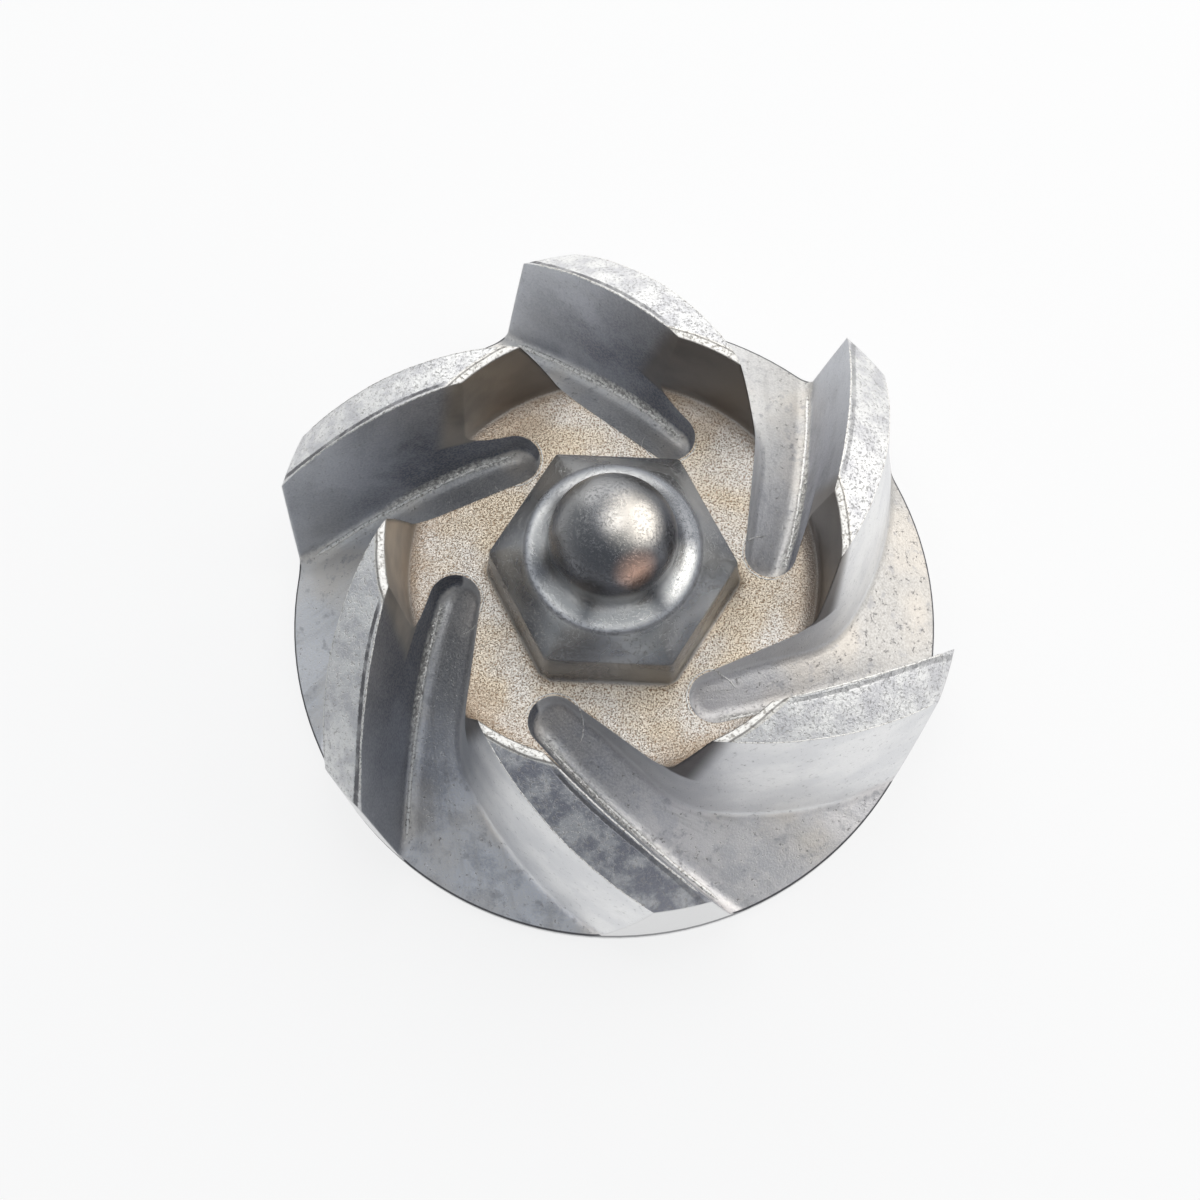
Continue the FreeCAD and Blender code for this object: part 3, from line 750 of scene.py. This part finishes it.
def lay_plateau(n, spot, metal):
    """Plateau: coarse golden grain, with painted brown shade towards the eye's wall and a painted
    shadow at its foot on the right.
    """
    noise, spots = spot.noise, spot.spots
    ragged_level = n.total(spot.z, n.centred(noise["cloud"], PLATEAU_WAVE))
    plateau = n.product(n.near(ragged_level, *PLATEAU_DEPTH), n.step(spot.up, *PLATEAU_LEVELNESS),
                        n.step(spot.z, *PLATEAU_BOTTOM),
                        n.inverse(n.step(spot.radius, *PLATEAU_EDGE)))
    light = n.mix(spots["tone"], *GRAIN_LIGHT)
    dark = n.mix(spots["tone"], *GRAIN_DARK)
    colour = n.mix(spots["grain"], dark, light)
    # Painted brown shade towards the eye's wall, with a wavy edge.
    brown_shade = n.total(spot.radius, n.product(noise["tone"], BROWN_SHADE_WAVE))
    colour = n.tint(colour, n.step(brown_shade, *BROWN_SHADE_RADII), *BROWN_SHADE_PAINT)
    # Painted shadow at the foot of the eye's wall, on the right.
    foot_shadow = n.total(spot.radius, n.product(noise["cloud"], FOOT_SHADOW_WAVE))
    foot_shadow = n.product(n.step(foot_shadow, *FOOT_SHADOW_RADII), n.step(spot.x, *FOOT_SHADOW_RIGHTWARD))
    colour = n.tint(colour, foot_shadow, *FOOT_SHADOW_PAINT)
    metal.lay(plateau, colour, PLATEAU_ROUGHNESS, n.product(noise["grain"], GRAIN_RISE))


def neck_highlights(n, spot):
    """Painted highlights round the neck."""
    highlight = 0.0
    for middle, reach, soft, strength in NECK_HIGHLIGHTS:
        patch = n.near(n.turned(spot.angle, middle, HALF_TURN_DEGREES), 0.0, reach, soft)
        highlight = n.math("MAXIMUM", highlight, n.product(patch, strength))
    return n.product(highlight, n.near(spot.radius, *NECK_HIGHLIGHT_PLACE))


def lay_hub(n, spot, metal):
    """Hub: smooth dark grey wiped nearly bright, with painted shade on the hexagon's flats; the
    dome painted dark as shade and lighter on its upper left, with a painted highlight and a
    painted warm reflection; a neck with painted highlights and shade, and painted shade in its
    crease.
    """
    noise, spots = spot.noise, spot.spots
    hub = n.product(n.inverse(n.step(spot.radius, *HUB_EDGE)), n.step(spot.z, *HUB_FOOT))
    colour = n.mix(spots["smear"], *HUB_COLOURS)
    pitted = n.product(n.step(spots["pit"], *HUB_PIT_BAND),
                       n.step(noise["cloud"], *HUB_PIT_CLOUD_BAND))
    colour = n.tint(colour, pitted, *HUB_PITS)
    upper = n.step(spot.z, *UPPER_LEVELS)
    # Painted shade on the hexagon's upright flats.
    shaded_flats = n.product(n.step(spot.levelness, *FLAT_LEVELNESS), n.inverse(upper))
    colour = n.tint(colour, shaded_flats, *FLAT_SHADE_PAINT)

    ball = n.product(n.inverse(n.step(spot.radius, *BALL_EDGE)), upper)
    # The ball painted dark as shade and lighter on its upper left as painted light.
    lit_upper_left = n.step(n.less(spot.y, spot.x), *BALL_LIT_UPPER_LEFTWARD)
    painted_lightness = n.line(lit_upper_left, BALL_LIGHT_BY_SIDE, n.product(noise["smear"], BALL_BY_SMEAR))
    colour = n.mix(ball, colour, n.mix(painted_lightness, *BALL_SHADE_AND_LIGHT_COLOURS))
    # A painted highlight on the dome.
    from_highlight = n.total(spot.distance(DOME_HIGHLIGHT_CENTRE), n.centred(noise["fine"], DOME_HIGHLIGHT_RAGGEDNESS))
    colour = n.mix(n.inverse(n.step(from_highlight, *DOME_HIGHLIGHT_REACH)), colour, DOME_HIGHLIGHT_COLOUR)
    # A painted warm reflection on the dome.
    warm_reflection = n.inverse(n.step(spot.distance(WARM_REFLECTION_CENTRE), *WARM_REFLECTION_REACH))
    colour = n.mix(warm_reflection, colour, WARM_REFLECTION_COLOUR)

    above_facets = n.step(spot.z, *NECK_LEVELS)
    neck = n.product(n.near(spot.radius, *NECK_PLACE), above_facets, n.inverse(ball))
    # The neck painted dark as shade, with painted highlights.
    colour = n.mix(neck, colour, n.mix(neck_highlights(n, spot), *NECK_SHADE_AND_HIGHLIGHT_COLOURS))
    # Painted shade in the crease at the neck's foot.
    crease_shade = n.product(n.near(spot.radius, *CREASE_PLACE), above_facets)
    colour = n.tint(colour, crease_shade, *CREASE_SHADE_PAINT)

    height = n.total(n.product(noise["tooth"], HUB_TOOTH_RISE),
                     n.product(noise["smear"], HUB_SMEAR_RISE))
    height = n.less(height, n.product(spots["pit"], HUB_PIT_DEPTH))
    metal.lay(hub, colour, n.line(noise["smear"], *HUB_ROUGHNESS), height)
    return hub


def lay_turned(n, spot, metal):
    """Turned ends of the vanes, a painted shade line at the rim's upper corner, the back and the
    bore.
    """
    noise = spot.noise
    outside = n.step(spot.radius, *OUTSIDE_RADII)
    metal.lay(outside, n.mix(noise["turns"], *OUTSIDE_COLOURS), OUTSIDE_ROUGHNESS,
              n.product(noise["turns"], TURNED_RISE))
    # Painted shade along the rim's upper corner.
    corner = n.product(n.step(spot.radius, *CORNER_RADII), n.near(spot.z, *CORNER_LEVELS))
    metal.lay(corner, CORNER_SHADE_COLOUR)

    back = n.product(n.step(n.product(spot.up, -1.0), *BACK_FACING),
                     n.inverse(n.step(spot.z, *BACK_LEVELS)))
    metal.lay(back, n.mix(noise["rings"], *BACK_COLOURS),
              n.line(noise["rings"], *BACK_ROUGHNESS), n.product(noise["rings"], TURNED_RISE))
    bore = n.product(n.inverse(n.step(spot.radius, *BORE_EDGE)),
                     n.inverse(n.step(spot.z, *BORE_END)), n.step(spot.z, *BORE_START))
    metal.lay(bore, BORE_COLOUR, BORE_ROUGHNESS, n.product(noise["bore"], TURNED_RISE))


def cast_metal():
    """The casting's metal, region by region."""
    material, n = new_material("cast_aluminium")
    spot = Spot(n)
    metal = casting_skin(n, spot)
    lay_walls(n, spot, metal)
    lay_roots(n, spot, metal)
    lay_lands(n, spot, metal)
    lay_ends(n, spot, metal)
    lay_plateau(n, spot, metal)
    hub = lay_hub(n, spot, metal)
    lay_turned(n, spot, metal)
    metal.finish(CAST_METALLIC, n.product(n.blend(hub, EDGE_ROUNDING, HUB_ROUNDING), MM))
    return material


def burr_metal():
    """Torn bright metal of the burrs along the edges."""
    material, n = new_material("torn_aluminium")
    crumbs = n.noise(n.object_mm(), BURR_CRUMBS)
    colour = n.mix(n.step(crumbs, *BURR_CRUMBS.band), *BURR_COLOURS)
    metal = Surface(n, colour, n.line(crumbs, *BURR_ROUGHNESS), n.product(crumbs, BURR_RISE))
    metal.finish(CAST_METALLIC, PIECE_ROUNDING * MM)
    return material


def thread_metal():
    """Cut metal of the thread, with fine marks along each turn."""
    material, n = new_material("cut_aluminium")
    marks = n.noise(n.scaled(n.object_mm(), THREAD_SQUASH), THREAD_MARKS)
    metal = Surface(n, n.mix(marks, *THREAD_COLOURS), n.line(marks, *THREAD_ROUGHNESS),
                    n.product(marks, THREAD_RISE))
    metal.finish(CUT_METALLIC, PIECE_ROUNDING * MM)
    return material


def floor_paper():
    """White paper. Seen directly or in the metal it is lifted towards white, and part
    of the shadow stays."""
    material, n = new_material("pale_paper")
    paper = n.add("BsdfPrincipled", {"Base Color": PAPER_COLOUR, "Roughness": PAPER_ROUGHNESS})
    white = n.add("Emission", {"Color": PURE_WHITE, "Strength": 1.0})
    ray = n.add("LightPath").outputs
    seen = n.math("MAXIMUM", ray["Is Camera Ray"],
                  n.math("MAXIMUM", ray["Is Glossy Ray"], ray["Is Transmission Ray"]))
    lifted = n.add("MixShader", {0: n.product(seen, PAPER_LIFT), 1: paper, 2: white})
    out = n.add("OutputMaterial")
    n.feed(out.inputs["Surface"], lifted)
    return material


def add_floor():
    mesh = bpy.data.meshes.new("floor")
    half, low = FLOOR_HALF_WIDTH, FLOOR_LEVEL
    corners = [(-half, -half, low), (half, -half, low), (half, half, low), (-half, half, low)]
    mesh.from_pydata(corners, [], [(0, 1, 2, 3)])
    mesh.materials.append(floor_paper())
    floor = bpy.data.objects.new("floor", mesh)
    bpy.context.scene.collection.objects.link(floor)


def set_world():
    world = bpy.data.worlds.new("studio")
    world.use_nodes = True
    background = world.node_tree.nodes["Background"]
    background.inputs["Color"].default_value = SKY_COLOUR
    background.inputs["Strength"].default_value = SKY_STRENGTH
    bpy.context.scene.world = world


def casting_surface():
    """The casting's faces in mm, to set small pieces down on."""
    mesh = casting.data
    points = [casting.matrix_world @ vertex.co / MM for vertex in mesh.vertices]
    return BVHTree.FromPolygons(points, [tuple(face.vertices) for face in mesh.polygons])


def set_down(radius, angle):
    """The point straight below (radius, angle in radians) on the casting, and its normal."""
    start = Vector((radius * math.cos(angle), radius * math.sin(angle), ABOVE_CASTING))
    point, normal = surface.ray_cast(start, DOWNWARDS)[:2]
    return point, normal


def along(curve, share):
    """Radius and angle at a share of the way along a curve."""
    place = share * (len(curve) - 1)
    first = min(int(place), len(curve) - 2)
    rest = place - first
    (r0, a0), (r1, a1) = curve[first], curve[first + 1]
    return r0 + (r1 - r0) * rest, math.radians(a0 + (a1 - a0) * rest)


def shares(count):
    """Evenly spaced numbers from 0 to 1."""
    return [index / (count - 1) for index in range(count)]


def add_piece(name, shape, material):
    mesh = bpy.data.meshes.new(name)
    shape.to_mesh(mesh)
    shape.free()
    for face in mesh.polygons:
        face.use_smooth = True
    mesh.materials.append(material)
    piece = bpy.data.objects.new(name, mesh)
    bpy.context.scene.collection.objects.link(piece)
    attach(piece, "root")


def add_bead(shape, path, thicknesses, unevenness):
    """A tube through the points of a path (point, normal), as thick as each point asks."""
    rings = []
    for index, (point, normal) in enumerate(path):
        before = path[max(index - 1, 0)][0]
        after = path[min(index + 1, len(path) - 1)][0]
        forward = (after - before).normalized()
        side = forward.cross(normal).normalized()
        lift = side.cross(forward)
        from_end = min(index, len(path) - 1 - index)
        swell = thicknesses[index] * min(1.0, BEAD_END_START + BEAD_END_GROWTH * from_end)
        ring = []
        for corner in range(BEAD_SIDES):
            turn = FULL_TURN * corner / BEAD_SIDES
            reach = swell * dice.uniform(1 - unevenness[index], 1 + unevenness[index])
            spot = point + reach * (math.cos(turn) * side + math.sin(turn) * lift)
            ring.append(shape.verts.new(spot * MM))
        rings.append(ring)
    for ring, following in zip(rings, rings[1:]):
        for corner in range(BEAD_SIDES):
            other = (corner + 1) % BEAD_SIDES
            shape.faces.new((ring[corner], ring[other], following[other], following[corner]))
    shape.faces.new(reversed(rings[0]))
    shape.faces.new(rings[-1])


def add_root_bead(shape, turn):
    """A ridge along one hollow side's foot, crumbly near the hub and smooth near the rim."""
    path = []
    for share in shares(ROOT_POINTS):
        radius, angle = along(ROOT_LINE, share)
        wander = ROOT_WANDER * (1 - share)
        angle += turn + (ROOT_SHIFT * share + dice.uniform(-wander, wander)) / radius
        point, normal = set_down(radius, angle)
        path.append((point - ROOT_SINK * normal, normal))
    growth, thinnest = ROOT_THICKNESS
    smoothing, roughest = ROOT_UNEVENNESS
    add_bead(shape, path, [thinnest + growth * share for share in shares(ROOT_POINTS)],
             [roughest + smoothing * share for share in shares(ROOT_POINTS)])


def add_root_grain(shape, turn):
    """One loose-looking grain beside a root ridge."""
    radius, angle = along(ROOT_LINE, GRAIN_SPAN * dice.random() ** GRAIN_CROWDING)
    angle += turn + dice.uniform(*GRAIN_OFFSETS) / radius
    point, normal = set_down(radius, angle)
    grain = bmesh.ops.create_icosphere(shape, subdivisions=1,
                                       radius=dice.uniform(*GRAIN_RADII) * MM)["verts"]
    for vertex in grain:
        vertex.co = vertex.co * dice.uniform(*GRAIN_STRETCH) + (point - GRAIN_SINK * normal) * MM


def add_root_burrs(material):
    """A ridge along each hollow side's foot, with grains near the hub."""
    shape = bmesh.new()
    for sixth in range(VANES):
        add_root_bead(shape, sixth * SIXTH)
        for _ in range(ROOT_GRAINS):
            add_root_grain(shape, sixth * SIXTH)
    add_piece("root_burrs", shape, material)


def add_edge_burrs(name, curve, inset, thickness, material):
    """A thin torn ridge along one edge of each land."""
    shape = bmesh.new()
    for sixth in range(VANES):
        path = []
        for share in shares(EDGE_POINTS):
            radius, angle = along(curve, share)
            wander = dice.uniform(-EDGE_WANDER, EDGE_WANDER)
            angle += sixth * SIXTH + (inset + wander) / radius
            point, normal = set_down(radius, angle)
            path.append((point - EDGE_SINK * normal, normal))
        add_bead(shape, path, [thickness] * EDGE_POINTS, [EDGE_UNEVENNESS] * EDGE_POINTS)
    add_piece(name, shape, material)


def add_finger_lips(material):
    """A thin torn lip around each channel's inner end, where it breaks into the plateau."""
    shape = bmesh.new()
    for sixth in range(VANES):
        middle = math.radians(FINGER_ANGLE) + sixth * SIXTH
        centre = FINGER_PITCH * Vector((math.cos(middle), math.sin(middle), 0.0))
        path = []
        for index in range(LIP_POINTS):
            around = middle + math.pi + LIP_HALF_SWEEP * (2 * index / (LIP_POINTS - 1) - 1)
            reach = FINGER_RADIUS + LIP_CLEARANCE + dice.uniform(-LIP_WANDER, LIP_WANDER)
            spot = centre + reach * Vector((math.cos(around), math.sin(around), 0.0))
            point, normal = set_down(spot.length, math.atan2(spot.y, spot.x))
            path.append((point - LIP_SINK * normal, normal))
        add_bead(shape, path, [LIP_THICKNESS] * LIP_POINTS, [LIP_UNEVENNESS] * LIP_POINTS)
    add_piece("finger_lips", shape, material)


def add_bore_thread(material):
    """Left-handed ridges around the bore."""
    shape = bmesh.new()
    count = int((THREAD_LAST - THREAD_FIRST) / THREAD_PITCH * THREAD_STEPS)
    wall = BORE_RADIUS + THREAD_ROOT
    rows = []
    for index in range(count + 1):
        turn = -FULL_TURN * index / THREAD_STEPS
        level = THREAD_FIRST + THREAD_PITCH * index / THREAD_STEPS
        share = min(1.0, index / THREAD_RUNOUT, (count - index) / THREAD_RUNOUT)
        crest = BORE_RADIUS - THREAD_HEIGHT * share
        row = []
        for radius, rise in ((wall, -THREAD_HALF_FOOT), (crest, -THREAD_HALF_CREST),
                             (crest, THREAD_HALF_CREST), (wall, THREAD_HALF_FOOT)):
            spot = Vector((radius * math.cos(turn), radius * math.sin(turn), level + rise))
            row.append(shape.verts.new(spot * MM))
        rows.append(row)
    for row, following in zip(rows, rows[1:]):
        for corner in range(len(row)):
            other = (corner + 1) % len(row)
            shape.faces.new((row[corner], following[corner], following[other], row[other]))
    shape.faces.new(rows[0])
    shape.faces.new(reversed(rows[-1]))
    bmesh.ops.recalc_face_normals(shape, faces=shape.faces)
    add_piece("bore_thread", shape, material)


bpy.context.scene.view_settings.view_transform = "Standard"
dice = random.Random(SEED)
add_camera()
set_world()
for lamp in LAMPS:
    add_soft_box(*lamp)
add_floor()
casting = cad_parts["impeller"]
casting.data.materials.clear()
casting.data.materials.append(cast_metal())
surface = casting_surface()
torn = burr_metal()
add_root_burrs(torn)
add_edge_burrs("hollow_edge_burrs", LAND_EDGE, HOLLOW_EDGE_INSET, HOLLOW_EDGE_THICKNESS, torn)
add_edge_burrs("round_edge_burrs", ROUND_EDGE, ROUND_EDGE_INSET, ROUND_EDGE_THICKNESS, torn)
add_finger_lips(torn)
add_bore_thread(thread_metal())
